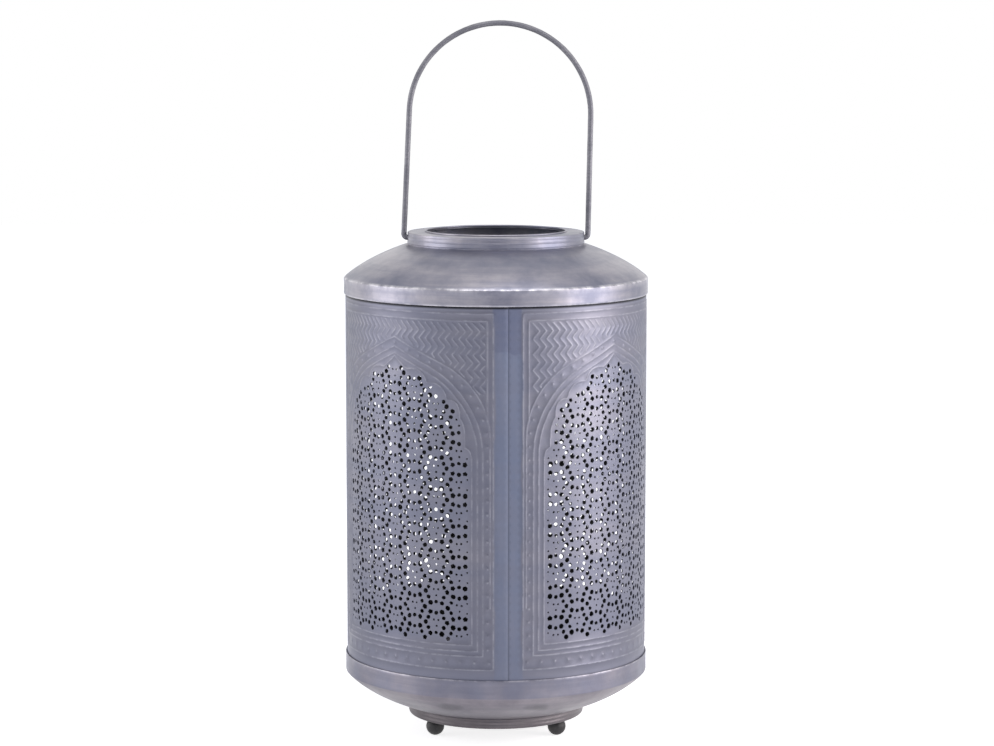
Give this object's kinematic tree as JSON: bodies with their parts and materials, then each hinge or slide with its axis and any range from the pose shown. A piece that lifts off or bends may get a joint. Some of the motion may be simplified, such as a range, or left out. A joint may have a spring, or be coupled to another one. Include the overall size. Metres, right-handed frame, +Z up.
{
  "type": "lantern floor lamp",
  "caption": "Tall round lantern floor lamp of pierced and embossed sheet metal, with spun shoulder and dish, ball feet, open neck and swinging bail handle.",
  "frame": {"origin": "on the floor, on the body's axis, amid the ball feet", "axes": "+Z up along the body's axis; +X right and -Y towards the front as pictured; the bail swings about an axis along X"},
  "size_m": [0.3008, 0.3008, 0.705],
  "materials": {
    "panel_metal": "embossed and pierced sheet with a mauve-grey patina, semi-gloss",
    "shoulder_metal": "spun sheet, mauve-grey patina, worn bright on its creases",
    "dish_metal": "spun sheet, reddish mauve patina",
    "bail_metal": "forged bar, light grey with soft flats",
    "ball_iron": "dark turned iron, satin",
    "black_plastic": "moulded, satin",
    "white_insulator": "glazed insulator",
    "zinc_steel": "zinc plated",
    "socket_brass": "rolled thin sheet",
    "cap_metal": "rolled thread, satin",
    "bulb_glass": "clear, thin"
  },
  "bodies": {
    "lantern": {"base_dish": "dish_metal", "foot_pan": "dish_metal", "ball_feet": "ball_iron", "body_panel_front_left": "panel_metal", "body_panel_front_right": "panel_metal", "body_panel_rear_right": "panel_metal", "body_panel_rear_left": "panel_metal", "shoulder": "shoulder_metal", "neck_collar": "shoulder_metal", "cable_bushing": "black_plastic", "threaded_nipple": "zinc_steel", "nipple_nut": "zinc_steel", "lampholder_base": "black_plastic", "lampholder_insert": "white_insulator", "lampholder_sleeve": "black_plastic", "socket_sleeve": "socket_brass", "centre_contact": "socket_brass", "bulb_cap": "cap_metal", "bulb_glass": "bulb_glass"},
    "bail": {"bail_handle": "bail_metal"}
  },
  "joints": [
    {"name": "bail_swing", "type": "hinge", "parent": "lantern", "child": "bail", "pos_m": [0, 0, 0.4925], "axis": [1, 0, 0], "range_deg": [-98.5, 98.5]}
  ]
}
